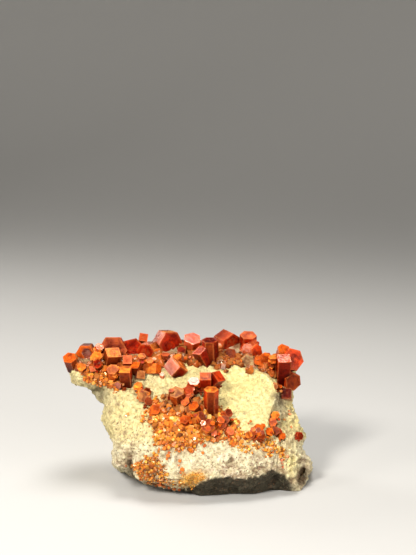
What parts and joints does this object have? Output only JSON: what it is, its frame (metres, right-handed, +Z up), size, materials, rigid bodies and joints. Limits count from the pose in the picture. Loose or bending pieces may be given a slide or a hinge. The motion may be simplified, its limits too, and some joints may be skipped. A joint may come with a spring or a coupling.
{
  "type": "vanadinite on matrix",
  "caption": "Mineral hand specimen: a block of pale cream rock with a crest, a front group and crusts of deep red hexagonal crystals.",
  "frame": {"origin": "bottom centre of the specimen's box, on the surface it rests on", "axes": "+Z up, +X to the right along the crest as seen from the crystal-covered front, which faces -Y"},
  "size_m": [0.0846, 0.055, 0.0486],
  "materials": {
    "matrix_rock": "matte",
    "vanadinite": "gloss",
    "vanadinite_druse": "satin"
  },
  "bodies": {
    "root": {"crystals_crest_left": "vanadinite", "crystals_crest_left_2": "vanadinite", "crystals_crest_left_3": "vanadinite", "crystals_crest_left_4": "vanadinite", "crystals_crest_left_5": "vanadinite", "crystals_crest_left_6": "vanadinite", "crystals_crest_middle": "vanadinite", "crystals_crest_middle_10": "vanadinite", "crystals_crest_middle_11": "vanadinite", "crystals_crest_middle_2": "vanadinite", "crystals_crest_middle_3": "vanadinite", "crystals_crest_middle_4": "vanadinite", "crystals_crest_middle_5": "vanadinite", "crystals_crest_middle_6": "vanadinite", "crystals_crest_middle_7": "vanadinite", "crystals_crest_middle_8": "vanadinite", "crystals_crest_middle_9": "vanadinite", "crystals_crest_right": "vanadinite", "crystals_crest_right_2": "vanadinite", "crystals_crest_right_3": "vanadinite", "crystals_crest_right_4": "vanadinite", "crystals_crest_right_5": "vanadinite", "crystals_flank_edge": "vanadinite", "crystals_flank_lower": "vanadinite", "crystals_flank_pair": "vanadinite", "crystals_front_left": "vanadinite", "crystals_front_middle": "vanadinite", "crystals_front_middle_2": "vanadinite", "crystals_front_middle_3": "vanadinite", "crystals_front_middle_4": "vanadinite", "crystals_front_middle_5": "vanadinite", "crystals_front_middle_6": "vanadinite", "crystals_front_orange": "vanadinite", "crystals_front_right": "vanadinite", "crystals_left_wing": "vanadinite", "crystals_left_wing_2": "vanadinite", "crystals_left_wing_3": "vanadinite", "crystals_right_end": "vanadinite", "druse_crest": "vanadinite_druse", "druse_front": "vanadinite_druse", "druse_lower_left": "vanadinite_druse", "druse_lower_middle": "vanadinite_druse", "druse_right": "vanadinite_druse", "druse_wing": "vanadinite_druse", "matrix": "matrix_rock"}
  },
  "joints": []
}
